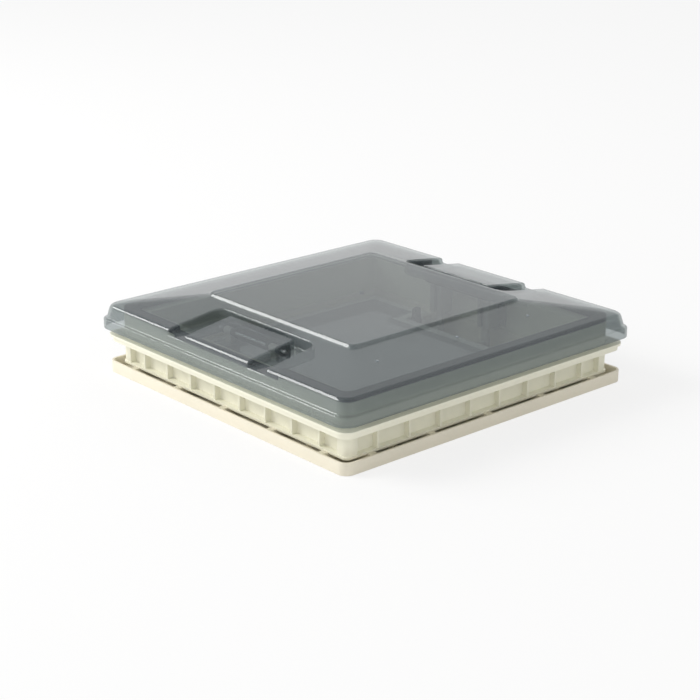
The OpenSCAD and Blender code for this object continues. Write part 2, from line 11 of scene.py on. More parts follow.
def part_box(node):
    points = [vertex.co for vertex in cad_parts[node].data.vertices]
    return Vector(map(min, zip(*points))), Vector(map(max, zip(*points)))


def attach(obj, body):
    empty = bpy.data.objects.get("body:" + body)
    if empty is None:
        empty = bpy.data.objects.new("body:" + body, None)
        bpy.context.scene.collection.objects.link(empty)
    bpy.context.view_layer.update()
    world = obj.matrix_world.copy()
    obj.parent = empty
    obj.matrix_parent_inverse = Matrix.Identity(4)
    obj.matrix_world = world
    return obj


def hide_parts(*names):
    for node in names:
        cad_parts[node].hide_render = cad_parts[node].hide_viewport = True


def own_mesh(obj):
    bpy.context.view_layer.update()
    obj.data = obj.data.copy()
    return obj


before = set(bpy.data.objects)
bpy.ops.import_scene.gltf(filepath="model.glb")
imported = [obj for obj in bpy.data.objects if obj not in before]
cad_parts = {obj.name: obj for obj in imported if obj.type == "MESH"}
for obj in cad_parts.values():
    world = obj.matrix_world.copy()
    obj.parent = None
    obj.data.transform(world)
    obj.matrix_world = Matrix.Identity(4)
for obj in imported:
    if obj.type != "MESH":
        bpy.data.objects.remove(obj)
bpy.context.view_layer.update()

bl_info = {
    "name": "Roof Vent Finish",
    "version": (1, 0, 0),
    "blender": (4, 5, 0),
    "location": "View3D > Sidebar > Roof Vent",
    "description": "Models and finishes a push-up roof vent around its construction frame",
    "category": "Object",
}

DOME_LOW, DOME_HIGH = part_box("dome")
FLAT_ANGLE = math.radians(1)
CREASE_ANGLE = math.radians(28)
UP = Vector((0, 0, 1))


# ---------------------------------------------------------------- settings


class VentDomeSettings(bpy.types.PropertyGroup):
    """Sizes and tint of the dome"""

    wall: FloatProperty(
        name="Wall", description="Thickness of the moulding", default=0.003, unit="LENGTH"
    )
    ledge_height: FloatProperty(
        name="Ledge height", description="Height of the ledge on the lip", default=0.0733, unit="LENGTH"
    )
    ledge_width: FloatProperty(
        name="Ledge width", description="Width of the ledge on the lip", default=0.004, unit="LENGTH"
    )
    shoulder_inset: FloatProperty(
        name="Shoulder inset", description="From the lip in to the shoulder", default=0.0079, unit="LENGTH"
    )
    shoulder_height: FloatProperty(
        name="Shoulder height", description="Height of the shoulder", default=0.0911, unit="LENGTH"
    )
    shoulder_radius: FloatProperty(
        name="Shoulder radius", description="Rounding of the shoulder", default=0.0046, unit="LENGTH"
    )
    panel_width: FloatProperty(
        name="Panel width", description="Width of the raised panel", default=0.28, unit="LENGTH"
    )
    panel_step: FloatProperty(
        name="Panel step", description="Width of the step round the panel", default=0.003, unit="LENGTH"
    )
    slope_top: FloatProperty(
        name="Slope top", description="Height at which the slope meets the panel", default=0.105, unit="LENGTH"
    )
    lip_radius: FloatProperty(
        name="Lip corner radius", description="Corner radius of the lip", default=0.019, unit="LENGTH"
    )
    pocket_width: FloatProperty(
        name="Pocket width", description="Width of each hinge pocket", default=0.188, unit="LENGTH"
    )
    pocket_flare: FloatProperty(
        name="Pocket flare", description="How much wider a pocket is at the edge", default=0.0025, unit="LENGTH"
    )
    pocket_radius: FloatProperty(
        name="Pocket radius", description="Corner radius at the back of a pocket", default=0.014, unit="LENGTH"
    )
    pocket_floor: FloatProperty(
        name="Pocket floor", description="Height of a pocket's floor at the edge", default=0.084, unit="LENGTH"
    )
    floor_angle: FloatProperty(
        name="Floor angle", description="Rise of a pocket's floor", default=math.radians(3), unit="ROTATION"
    )
    housing_width: FloatProperty(
        name="Housing width", description="Width of the hinge housing", default=0.124, unit="LENGTH"
    )
    gutter: FloatProperty(
        name="Gutter", description="Gap behind the hinge housing", default=0.008, unit="LENGTH"
    )
    edge_radius: FloatProperty(
        name="Edge radius", description="Rounding of the pockets' edges", default=0.0020, unit="LENGTH"
    )
    tint: FloatVectorProperty(
        name="Tint", description="Smoke tint of the light let through", default=(0.62, 0.65, 0.645),
        size=3, subtype="COLOR", min=0, max=1,
    )
    haze: FloatVectorProperty(
        name="Haze", description="Colour of the moulding itself", default=(0.53, 0.60, 0.66),
        size=3, subtype="COLOR", min=0, max=1,
    )
    opacity: FloatProperty(
        name="Opacity", description="How much of the moulding's own colour shows", default=0.10,
        subtype="FACTOR", min=0, max=1,
    )
    ior: FloatProperty(
        name="IOR", description="How strongly the surface mirrors", default=1.55
    )
    gloss: FloatProperty(
        name="Gloss", description="Roughness of the mirrored light", default=0.07, min=0, max=1
    )


class VentPartSettings(bpy.types.PropertyGroup):
    """Edge rounding and colours of the moulded and metal parts"""

    edge: FloatProperty(
        name="Edge rounding", description="Rounding of the moulded edges", default=0.0006, unit="LENGTH"
    )
    frame_colour: FloatVectorProperty(
        name="Base frame", description="Ivory of the base frame", default=(0.88, 0.865, 0.72),
        size=3, subtype="COLOR", min=0, max=1,
    )
    trim_colour: FloatVectorProperty(
        name="Trim frame", description="Cream of the trim frame", default=(0.80, 0.75, 0.62),
        size=3, subtype="COLOR", min=0, max=1,
    )
    grey_colour: FloatVectorProperty(
        name="Handles and guides", description="Grey of the handles and guides", default=(0.50, 0.49, 0.45),
        size=3, subtype="COLOR", min=0, max=1,
    )
    dark_colour: FloatVectorProperty(
        name="Dark parts", description="Charcoal of latches and hinges", default=(0.035, 0.037, 0.040),
        size=3, subtype="COLOR", min=0, max=1,
    )
    rubber_colour: FloatVectorProperty(
        name="Rubber", description="Colour of the rim seal", default=(0.016, 0.017, 0.016),
        size=3, subtype="COLOR", min=0, max=1,
    )
    steel_colour: FloatVectorProperty(
        name="Steel", description="Colour of screws, pins and springs", default=(0.55, 0.56, 0.57),
        size=3, subtype="COLOR", min=0, max=1,
    )
    mesh_pitch: FloatProperty(
        name="Mesh pitch", description="Spacing of the fly screen's threads", default=0.0014, unit="LENGTH"
    )


class VentStudioSettings(bpy.types.PropertyGroup):
    """Camera, lamps and floor"""

    azimuth: FloatProperty(
        name="Azimuth", description="Camera's direction round the vent", default=math.radians(48.39),
        unit="ROTATION",
    )
    elevation: FloatProperty(
        name="Elevation", description="Camera's height angle", default=math.radians(20.20), unit="ROTATION"
    )
    distance: FloatProperty(
        name="Distance", description="Camera's distance from the origin", default=2.1879, unit="LENGTH"
    )
    pan: FloatProperty(
        name="Pan", description="Camera turned sideways from the origin", default=-0.0077, unit="ROTATION"
    )
    tilt: FloatProperty(
        name="Tilt", description="Camera turned upwards from the origin", default=0.0147, unit="ROTATION"
    )
    lens: FloatProperty(
        name="Lens", description="Focal length in millimetres", default=87.07
    )
    floor_size: FloatProperty(
        name="Floor size", description="Width of the floor", default=40.0, unit="LENGTH"
    )
    floor_colour: FloatVectorProperty(
        name="Floor", description="Colour of the floor", default=(0.94, 0.94, 0.94),
        size=3, subtype="COLOR", min=0, max=1,
    )
    floor_lift: FloatProperty(
        name="Floor lift", description="How far the camera sees the floor lifted to white", default=0.75,
        subtype="FACTOR", min=0, max=1,
    )
    sky: FloatProperty(
        name="Sky", description="Brightness of the surrounding light at the horizon", default=1.13
    )
    softbox_direction: FloatVectorProperty(
        name="Softbox direction", description="Where the softbox hangs", default=(-0.66, -0.56, 0.58), size=3
    )
    softbox_distance: FloatProperty(
        name="Softbox distance", description="From the origin to the softbox", default=4.0, unit="LENGTH"
    )
    softbox_size: FloatProperty(
        name="Softbox size", description="Width of the softbox", default=2.0, unit="LENGTH"
    )
    softbox_power: FloatProperty(
        name="Softbox power", description="Power of the softbox in watts", default=112.0
    )


# ---------------------------------------------------------------- mesh helpers


def new_object(name, bm):
    """Writes bm to a new object at the origin and frees it."""
    mesh = bpy.data.meshes.new(name)
    bm.to_mesh(mesh)
    bm.free()
    obj = bpy.data.objects.new(name, mesh)
    bpy.context.scene.collection.objects.link(obj)
    return obj


def finish_piece(obj, material, body, nodes=(), crease=CREASE_ANGLE):
    """Smooths obj, gives it its material, and lets it ride in place of nodes."""
    for face in obj.data.polygons:
        face.use_smooth = True
    obj.data.set_sharp_from_angle(angle=crease)
    obj.data.materials.clear()
    obj.data.materials.append(material)
    if nodes:
        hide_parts(*nodes)
    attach(obj, body)
    return obj


def evaluated_bmesh(obj):
    """bmesh of obj with its modifiers applied."""
    bpy.context.view_layer.update()
    graph = bpy.context.evaluated_depsgraph_get()
    bm = bmesh.new()
    bm.from_object(obj, graph)
    return bm


def discard(*objects):
    """Removes helper objects and their meshes."""
    for obj in objects:
        mesh = obj.data
        bpy.data.objects.remove(obj)
        bpy.data.meshes.remove(mesh)


def corner_points(half_x, half_y, radius, steps):
    """Outline of a rectangle with round corners, as (x, y) pairs in order."""
    points = []
    for corner in range(4):
        cx = (half_x - radius) * (1, -1, -1, 1)[corner]
        cy = (half_y - radius) * (1, 1, -1, -1)[corner]
        for k in range(steps + 1):
            a = math.radians(90) * (corner + k / steps)
            points.append((cx + radius * math.cos(a), cy + radius * math.sin(a)))
    return points


def ring_of(bm, points):
    """New closed ring of edges through the points."""
    verts = [bm.verts.new(p) for p in points]
    for a, b in zip(verts, verts[1:] + verts[:1]):
        bm.edges.new((a, b))
    return verts


def extrude_ring(bm, ring, points):
    """Extrudes a closed ring once and moves the new ring to the points."""
    pairs = zip(ring, ring[1:] + ring[:1])
    edges = [bm.edges.get(pair) for pair in pairs]
    made = bmesh.ops.extrude_edge_only(bm, edges=edges)
    fresh = {g for g in made["geom"] if isinstance(g, bmesh.types.BMVert)}
    above = [next(e.other_vert(v) for e in v.link_edges if e.other_vert(v) in fresh) for v in ring]
    for vert, point in zip(above, points):
        vert.co = point
    return above


def lofted(levels, steps=10):
    """Closed body through square levels of (half width, corner radius, height)."""
    bm = bmesh.new()
    ring = None
    for half, radius, z in levels:
        points = [(x, y, z) for x, y in corner_points(half, half, radius, steps)]
        ring = ring_of(bm, points) if ring is None else extrude_ring(bm, ring, points)
        if len(bm.faces) == 0 and len(bm.verts) == len(points):
            bm.faces.new(ring)
    bm.faces.new(ring)
    bmesh.ops.recalc_face_normals(bm, faces=bm.faces)
    return bm


def carve(body, cutters):
    """Takes the cutters out of body and returns the result as a bmesh."""
    for cutter in cutters:
        cut = body.modifiers.new("carve", "BOOLEAN")
        cut.operation = "DIFFERENCE"
        cut.solver = "EXACT"
        cut.object = cutter
    return evaluated_bmesh(body)


def crease_edges(bm, angle=CREASE_ANGLE):
    """Edges whose faces meet at more than angle."""
    return [e for e in bm.edges if len(e.link_faces) == 2 and e.calc_face_angle(0) > angle]


def round_edges(bm, edges, width, segments=2):
    """Rounds edges, within the room that there is."""
    if edges:
        bmesh.ops.bevel(
            bm, geom=edges, offset=width, offset_type="OFFSET", segments=segments, profile=0.5,
            affect="EDGES", clamp_overlap=True, material=-1,
        )


def merged_copy(node):
    """bmesh of a construction node with its triangles joined into whole faces."""
    bm = bmesh.new()
    bm.from_mesh(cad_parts[node].data)
    bmesh.ops.remove_doubles(bm, verts=bm.verts, dist=2e-6)
    bmesh.ops.dissolve_degenerate(bm, edges=bm.edges, dist=2e-6)
    bmesh.ops.dissolve_limit(
        bm, angle_limit=FLAT_ANGLE, use_dissolve_boundaries=False, verts=bm.verts, edges=bm.edges
    )
    return bm


def rounded_copy(node, material, slot, body, width, segments=2):
    """Piece that stands for a node, with its edges rounded."""
    bm = merged_copy(node)
    for island in islands(bm):
        edges = [e for e in island if len(e.link_faces) == 2 and e.calc_face_angle(0) > CREASE_ANGLE]
        round_edges(bm, edges, width, segments)
    bmesh.ops.triangulate(bm, faces=[f for f in bm.faces if len(f.verts) > 4])
    piece = new_object(node + "_moulded", bm)
    return finish_piece(piece, material, body, [node])


def islands(bm):
    """The edges of each separate solid in bm."""
    left = set(bm.verts)
    groups = []
    while left:
        todo = [left.pop()]
        edges = set()
        while todo:
            for edge in todo.pop().link_edges:
                edges.add(edge)
                for vert in edge.verts:
                    if vert in left:
                        left.remove(vert)
                        todo.append(vert)
        groups.append(list(edges))
    return groups


# ---------------------------------------------------------------- materials


def link(tree, source, target):
    """Joins two sockets."""
    tree.links.new(source, target)


def new_group(name, inputs, outputs):
    """Node group with the named sockets, each (name, socket type), and its two end nodes."""
    group = bpy.data.node_groups.new(name, "ShaderNodeTree")
    for label, kind in inputs:
        group.interface.new_socket(label, in_out="INPUT", socket_type=kind)
    for label, kind in outputs:
        group.interface.new_socket(label, in_out="OUTPUT", socket_type=kind)
    return group, group.nodes.new("NodeGroupInput"), group.nodes.new("NodeGroupOutput")


def noise_at(tree, coordinates, scale, detail=3.0, roughness=0.5):
    """Noise texture in object coordinates."""
    noise = tree.nodes.new("ShaderNodeTexNoise")
    noise.inputs["Scale"].default_value = scale
    noise.inputs["Detail"].default_value = detail
    noise.inputs["Roughness"].default_value = roughness
    link(tree, coordinates, noise.inputs["Vector"])
    return noise.outputs["Fac"]


def map_range(tree, value, low, high, to_low, to_high):
    """Map Range node; its output ends may be sockets or numbers."""
    node = tree.nodes.new("ShaderNodeMapRange")
    link(tree, value, node.inputs["Value"])
    for label, end in (("From Min", low), ("From Max", high), ("To Min", to_low), ("To Max", to_high)):
        if isinstance(end, bpy.types.NodeSocket):
            link(tree, end, node.inputs[label])
        else:
            node.inputs[label].default_value = end
    return node.outputs["Result"]


def maths(tree, operation, a, b):
    """Math node on sockets or numbers."""
    node = tree.nodes.new("ShaderNodeMath")
    node.operation = operation
    for socket, value in zip(node.inputs, (a, b)):
        if isinstance(value, bpy.types.NodeSocket):
            link(tree, value, socket)
        else:
            socket.default_value = value
    return node.outputs[0]


def mixed(tree, mode, factor, a, b):
    """Colour mix of a and b; factor is a socket or a number."""
    node = tree.nodes.new("ShaderNodeMix")
    node.data_type = "RGBA"
    node.blend_type = mode
    for socket, value in ((node.inputs[0], factor), (node.inputs[6], a), (node.inputs[7], b)):
        if isinstance(value, bpy.types.NodeSocket):
            link(tree, value, socket)
        else:
            socket.default_value = value
    return node.outputs[2]


def tone_group():
    """Shared group: broad and fine change of tone over a moulding, and dust that lies on level faces."""
    name = "vent_tone"
    if name in bpy.data.node_groups:
        return bpy.data.node_groups[name]
    group, start, end = new_group(
        name,
        [("Colour", "NodeSocketColor"), ("Amount", "NodeSocketFloat"), ("Dust", "NodeSocketFloat")],
        [("Colour", "NodeSocketColor")],
    )
    place = group.nodes.new("ShaderNodeTexCoord").outputs["Object"]
    broad = noise_at(group, place, 9.0, 2.0)
    fine = noise_at(group, place, 160.0, 4.0)
    both = maths(group, "ADD", maths(group, "MULTIPLY", broad, 0.7), maths(group, "MULTIPLY", fine, 0.3))
    shade = map_range(group, both, 0.3, 0.7, maths(group, "SUBTRACT", 1.0, start.outputs["Amount"]), 1.0)
    toned = mixed(group, "MULTIPLY", 1.0, start.outputs["Colour"], shade)
    facing = group.nodes.new("ShaderNodeNewGeometry")
    split = group.nodes.new("ShaderNodeSeparateXYZ")
    link(group, facing.outputs["Normal"], split.inputs[0])
    level = map_range(group, split.outputs["Z"], 0.6, 1.0, 0.0, start.outputs["Dust"])
    patchy = maths(group, "MULTIPLY", level, map_range(group, noise_at(group, place, 35.0), 0.35, 0.65, 0.3, 1.0))
    link(group, mixed(group, "MIX", patchy, toned, (0.42, 0.40, 0.36, 1)), end.inputs["Colour"])
    return group


def surface_group():
    """Shared group: uneven roughness, and a fine grain over a slow waviness as a normal."""
    name = "vent_surface"
    if name in bpy.data.node_groups:
        return bpy.data.node_groups[name]
    group, start, end = new_group(
        name,
        [("Roughness", "NodeSocketFloat"), ("Spread", "NodeSocketFloat"), ("Grain", "NodeSocketFloat"),
         ("Grain Scale", "NodeSocketFloat"), ("Wave", "NodeSocketFloat")],
        [("Roughness", "NodeSocketFloat"), ("Normal", "NodeSocketVector")],
    )
    place = group.nodes.new("ShaderNodeTexCoord").outputs["Object"]
    low = maths(group, "SUBTRACT", start.outputs["Roughness"], start.outputs["Spread"])
    high = maths(group, "ADD", start.outputs["Roughness"], start.outputs["Spread"])
    link(group, map_range(group, noise_at(group, place, 42.0, 4.0), 0.3, 0.7, low, high), end.inputs["Roughness"])
    grain = group.nodes.new("ShaderNodeTexNoise")
    grain.inputs["Detail"].default_value = 2.0
    link(group, place, grain.inputs["Vector"])
    link(group, start.outputs["Grain Scale"], grain.inputs["Scale"])
    fine = maths(group, "MULTIPLY", grain.outputs["Fac"], start.outputs["Grain"])
    slow = maths(group, "MULTIPLY", noise_at(group, place, 14.0, 1.0), start.outputs["Wave"])
    bump = group.nodes.new("ShaderNodeBump")
    bump.inputs["Distance"].default_value = 1.0
    link(group, maths(group, "ADD", fine, slow), bump.inputs["Height"])
    link(group, bump.outputs["Normal"], end.inputs["Normal"])
    return group


def use_group(tree, group, values):
    """Group node in tree with its inputs set by name."""
    node = tree.nodes.new("ShaderNodeGroup")
    node.node_tree = group
    for label, value in values.items():
        node.inputs[label].default_value = value
    return node


def finish_material(name, colour, roughness, metallic=0.0, tone=0.10, dust=0.0, spread=0.05,
                    grain=0.00002, grain_scale=1800.0, wave=0.0, coat=0.0, ior=1.46):
    """Principled finish with toned colour, uneven roughness and grain; returns the material and its shader."""
    material = bpy.data.materials.new(name)
    material.use_nodes = True
    tree = material.node_tree
    shader = tree.nodes["Principled BSDF"]
    shader.inputs["Metallic"].default_value = metallic
    shader.inputs["IOR"].default_value = ior
    shader.inputs["Coat Weight"].default_value = coat
    shader.inputs["Coat Roughness"].default_value = 0.12
    toned = use_group(tree, tone_group(), {"Colour": (*colour, 1), "Amount": tone, "Dust": dust})
    link(tree, toned.outputs["Colour"], shader.inputs["Base Color"])
    surface = use_group(tree, surface_group(), {
        "Roughness": roughness, "Spread": spread, "Grain": grain, "Grain Scale": grain_scale, "Wave": wave,
    })
    link(tree, surface.outputs["Roughness"], shader.inputs["Roughness"])
    link(tree, surface.outputs["Normal"], shader.inputs["Normal"])
    return material, shader


def smoked_material(settings):
    """Smoked acrylic: tinted clear with a little haze in it, under a surface that mirrors at low angles."""
    material, shader = finish_material(
        "smoked_acrylic", settings.haze, 0.30, tone=0.06, spread=0.03, grain=0.000004,
        grain_scale=700.0, wave=0.00012, ior=settings.ior,
    )
    tree = material.node_tree
    shader.inputs["Specular IOR Level"].default_value = 0.0
    clear = tree.nodes.new("ShaderNodeBsdfTransparent")
    clear.inputs["Color"].default_value = (*settings.tint, 1)
    body = tree.nodes.new("ShaderNodeMixShader")
    body.inputs[0].default_value = settings.opacity
    link(tree, clear.outputs[0], body.inputs[1])
    link(tree, shader.outputs[0], body.inputs[2])
    gloss = tree.nodes.new("ShaderNodeBsdfGlossy")
    gloss.inputs["Roughness"].default_value = settings.gloss
    link(tree, shader.inputs["Normal"].links[0].from_socket, gloss.inputs["Normal"])
    behind = tree.nodes.new("ShaderNodeNewGeometry").outputs["Backfacing"]
    fresnel = tree.nodes.new("ShaderNodeFresnel")
    link(tree, map_range(tree, behind, 0.0, 1.0, settings.ior, 1 / settings.ior), fresnel.inputs["IOR"])
    surface = tree.nodes.new("ShaderNodeMixShader")
    link(tree, fresnel.outputs[0], surface.inputs[0])
    link(tree, body.outputs[0], surface.inputs[1])
    link(tree, gloss.outputs[0], surface.inputs[2])
    link(tree, surface.outputs[0], tree.nodes["Material Output"].inputs["Surface"])
    return material


# ---------------------------------------------------------------- dome


def dome_profile(settings, inset):
    """Levels of the dome's skin as (half width, corner radius, height), from the lip up."""
    lip = DOME_HIGH.x - inset
    wall = lip - settings.ledge_width
    shoulder = lip - settings.shoulder_inset
    panel = settings.panel_width / 2 - inset
    radius = settings.lip_radius - inset
    ledge = settings.ledge_height - inset
    return [
        (lip, radius, DOME_LOW.z),
        (lip, radius, ledge),
        (wall, radius - settings.ledge_width, ledge),
        (shoulder, radius - settings.ledge_width, settings.shoulder_height - inset),
        (panel + settings.panel_step, 0.012 - inset, settings.slope_top - inset),
        (panel, 0.009 - inset, DOME_HIGH.z - inset),
    ]


def pocket_cutter(settings, grow, side):
    """U-shaped block round the hinge housing on one side, -1 for the front and 1 for the rear."""
    pin_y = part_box("rear_hinge_pin")[0].y + 0.0027
    wall = DOME_HIGH.y - settings.ledge_width
    outside = DOME_HIGH.y + 0.03
    housing_y = pin_y - 0.016
    back = housing_y - settings.gutter
    half = settings.pocket_width / 2
    radius = settings.pocket_radius
    flare = settings.pocket_flare * (outside - back) / (wall - back)
    inner = settings.housing_width / 2
    outline = [(half + flare + grow, outside)]
    for k in range(9):
        a = math.radians(90) * k / 8
        outline.append((half - radius + (radius + grow) * math.cos(a), back + radius - (radius + grow) * math.sin(a)))
    outline += [(-x, y) for x, y in reversed(outline)]
    outline += [(-inner + grow, outside), (-inner + grow, housing_y + grow), (inner - grow, housing_y + grow),
                (inner - grow, outside)]
    bm = bmesh.new()
    slope = math.tan(settings.floor_angle)
    verts = [
        bm.verts.new((x, side * y, settings.pocket_floor + (wall - y) * slope - grow)) for x, y in outline
    ]
    floor = bm.faces.new(verts)
    made = bmesh.ops.extrude_face_region(bm, geom=[floor])
    for vert in made["geom"]:
        if isinstance(vert, bmesh.types.BMVert):
            vert.co.z = DOME_HIGH.z + 0.02
    bmesh.ops.recalc_face_normals(bm, faces=bm.faces)
    return new_object("pocket_cutter", bm)


def edge_width(settings, edge, inset):
    """Rounding that an edge of the dome's skin gets, or 0."""
    if len(edge.link_faces) != 2 or edge.calc_face_angle(0) < math.radians(18):
        return 0.0
    za, zb = (v.co.z for v in edge.verts)
    low, high = min(za, zb) + inset, max(za, zb) + inset
    reach = min(max(abs(v.co.x), abs(v.co.y)) for v in edge.verts) + inset
    near = 0.0004
    if high < DOME_LOW.z + inset + near:
        return 0.0
    if abs(low - settings.shoulder_height) < near and abs(high - settings.shoulder_height) < near:
        at_rim = reach > DOME_HIGH.x - settings.shoulder_inset - 0.02
        return max(settings.shoulder_radius - inset, 0.0012) if at_rim else settings.edge_radius
    if low > DOME_HIGH.z - near:
        return 0.0010
    if low > settings.slope_top - near:
        return 0.0008
    if high < settings.ledge_height + near:
        return 0.0018
    return settings.edge_radius


def dome_skin(settings, inset):
    """Skin of the dome, set in by inset, with its pockets carved and its edges rounded."""
    body = new_object("dome_skin", lofted(dome_profile(settings, inset)))
    cutters = [pocket_cutter(settings, inset, side) for side in (-1, 1)]
    bm = carve(body, cutters)
    discard(body, *cutters)
    bmesh.ops.remove_doubles(bm, verts=bm.verts, dist=1e-5)
    bmesh.ops.dissolve_limit(bm, angle_limit=math.radians(0.2), verts=bm.verts, edges=bm.edges)
    weight = bm.edges.layers.float.new("bevel_weight_edge")
    for edge in bm.edges:
        edge[weight] = edge_width(settings, edge, inset) / settings.shoulder_radius
    sharp = new_object("sharp_skin", bm)
    soften = sharp.modifiers.new("rounding", "BEVEL")
    soften.limit_method = "WEIGHT"
    soften.width = settings.shoulder_radius
    soften.segments = 4
    soften.use_clamp_overlap = False
    soften.miter_outer = "MITER_ARC"
    bm = evaluated_bmesh(sharp)
    discard(sharp)
    if inset > 0:
        bmesh.ops.reverse_faces(bm, faces=bm.faces)
    return bm


def open_bottom(bm, height):
    """Takes the bottom face off a skin and returns its rim's edges."""
    bottom = [f for f in bm.faces if all(abs(v.co.z - height) < 1e-5 for v in f.verts)]
    rim = {e for f in bottom for e in f.edges if any(g not in bottom for g in e.link_faces)}
    bmesh.ops.delete(bm, geom=bottom, context="FACES_ONLY")
    return [e for e in rim if e.is_valid]


class VENT_OT_make_dome(bpy.types.Operator):
    """Makes the smoked dome with its shoulder, raised panel and hinge pockets"""

    bl_idname = "vent.make_dome"
    bl_label = "Make Dome"

    def execute(self, context):
        settings = context.scene.vent_dome
        outer = dome_skin(settings, 0.0)
        inner = dome_skin(settings, settings.wall)
        mesh = bpy.data.meshes.new("inner_skin")
        inner.to_mesh(mesh)
        inner.free()
        outer.from_mesh(mesh)
        bpy.data.meshes.remove(mesh)
        rims = open_bottom(outer, DOME_LOW.z)
        bmesh.ops.bridge_loops(outer, edges=rims)
        rim_edges = [e for e in rims if e.is_valid]
        round_edges(outer, rim_edges, 0.0007)
        bmesh.ops.recalc_face_normals(outer, faces=outer.faces)
        bmesh.ops.triangulate(outer, faces=[f for f in outer.faces if len(f.verts) > 4])
        dome = new_object("dome_shell", outer)
        finish_piece(dome, smoked_material(settings), "dome", ["dome"], math.radians(35))
        weighted = dome.modifiers.new("even shading", "WEIGHTED_NORMAL")
        weighted.keep_sharp = True
        return {"FINISHED"}


class VENT_OT_make_dome_marks(bpy.types.Operator):
    """Makes the moulding's gate mark and the small ejector marks on its slope"""

    bl_idname = "vent.make_dome_marks"
    bl_label = "Make Dome Marks"

    def execute(self, context):
        settings = context.scene.vent_dome
        bm = bmesh.new()
        slope = (settings.slope_top - settings.shoulder_height) / (
            DOME_HIGH.x - settings.shoulder_inset - settings.panel_width / 2 - settings.panel_step
        )
        start = settings.panel_width / 2 + settings.panel_step
        for y in (-0.136, -0.008, 0.115):
            height = settings.slope_top - (0.178 - start) * slope
            add_mark(bm, (0.178, y, height - 0.0004), 0.0022, 0.0014)
        add_mark(bm, (-0.0169, 0.0124, DOME_HIGH.z - settings.wall - 0.0012), 0.0034, 0.0024)
        marks = new_object("dome_marks", bm)
        material, _ = finish_material("smoked_mark", [c * 0.5 for c in settings.haze], 0.3)
        finish_piece(marks, material, "dome")
        return {"FINISHED"}


def add_mark(bm, place, radius, height):
    """Adds a low round mark with a tapered side to bm."""
    bmesh.ops.create_cone(
        bm, cap_ends=True, segments=24, radius1=radius, radius2=radius * 0.75, depth=height,
        matrix=Matrix.Translation(place),
    )


# ---------------------------------------------------------------- frames, seal, handles


def moulded_group(context, rows):
    """Rounded pieces for rows of (node, material, slot, body, rounding, segments)."""
    return [rounded_copy(*row) for row in rows]


def part_material(name, colour, roughness, **more):
    """Material by name, made once."""
    found = bpy.data.materials.get(name)
    return found or finish_material(name, colour, roughness, **more)[0]


class VENT_OT_make_frames(bpy.types.Operator):
    """Makes the ivory base frame and the cream trim frame with its screw caps"""

    bl_idname = "vent.make_frames"
    bl_label = "Make Frames"

    def execute(self, context):
        s = context.scene.vent_parts
        ivory = part_material("ivory_moulding", s.frame_colour, 0.42, tone=0.07, dust=0.06,
                              grain=0.00003, grain_scale=900.0, wave=0.0002)
        cream = part_material("cream_moulding", s.trim_colour, 0.38, tone=0.06, grain=0.000035,
                              grain_scale=1100.0, wave=0.0002)
        moulded_group(context, [
            ("base_frame", ivory, "frame_ivory", "frame", s.edge, 2),
            ("inner_frame", cream, "trim_cream", "frame", s.edge, 2),
            ("screw_caps", cream, "trim_cream", "frame", 0.0004, 2),
        ])
        return {"FINISHED"}


class VENT_OT_make_seal(bpy.types.Operator):
    """Makes the rubber seal on the upstand, which the dome squeezes as it tilts"""

    bl_idname = "vent.make_seal"
    bl_label = "Make Seal"

    def execute(self, context):
        s = context.scene.vent_parts
        rubber = part_material("black_rubber", s.rubber_colour, 0.62, tone=0.25, grain=0.00008,
                               grain_scale=1500.0, wave=0.0006)
        seal = rounded_copy("rim_seal", rubber, "seal_rubber", "frame", 0.0022, 3)
        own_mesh(seal)
        return {"FINISHED"}


class VENT_OT_make_handles(bpy.types.Operator):
    """Makes the two lift handles, their leg guides and their hinge blocks"""

    bl_idname = "vent.make_handles"
    bl_label = "Make Handles"

    def execute(self, context):
        s = context.scene.vent_parts
        grey = part_material("grey_handle", s.grey_colour, 0.34, tone=0.08, grain=0.00002)
        guide = part_material("grey_guide", [c * 0.9 for c in s.grey_colour], 0.46, tone=0.08, grain=0.00003)
        dark = part_material("charcoal_moulding", s.dark_colour, 0.40, tone=0.2, grain=0.00003)
        moulded_group(context, [
            ("front_handle", grey, "handle_plastic", "front_handle", 0.0008, 3),
            ("rear_handle", grey, "handle_plastic", "rear_handle", 0.0008, 3),
            ("front_guides", guide, "guide_plastic", "frame", 0.0004, 2),
            ("rear_guides", guide, "guide_plastic", "frame", 0.0004, 2),
            ("front_hinge_block", dark, "dark_plastic", "dome", 0.0005, 2),
            ("rear_hinge_block", dark, "dark_plastic", "dome", 0.0005, 2),
        ])
        return {"FINISHED"}


class VENT_OT_make_latches(bpy.types.Operator):
    """Makes the two turn latches and the slide bolts of the fly screen"""

    bl_idname = "vent.make_latches"
    bl_label = "Make Latches"

    def execute(self, context):
        s = context.scene.vent_parts
        dark = part_material("charcoal_moulding", s.dark_colour, 0.40, tone=0.2, grain=0.00003)
        moulded_group(context, [
            ("front_latch", dark, "dark_plastic", "front_latch", 0.0006, 3),
            ("rear_latch", dark, "dark_plastic", "rear_latch", 0.0006, 3),
            ("left_screen_slide", dark, "dark_plastic", "left_screen_slide", 0.0004, 2),
            ("right_screen_slide", dark, "dark_plastic", "right_screen_slide", 0.0004, 2),
        ])
        return {"FINISHED"}


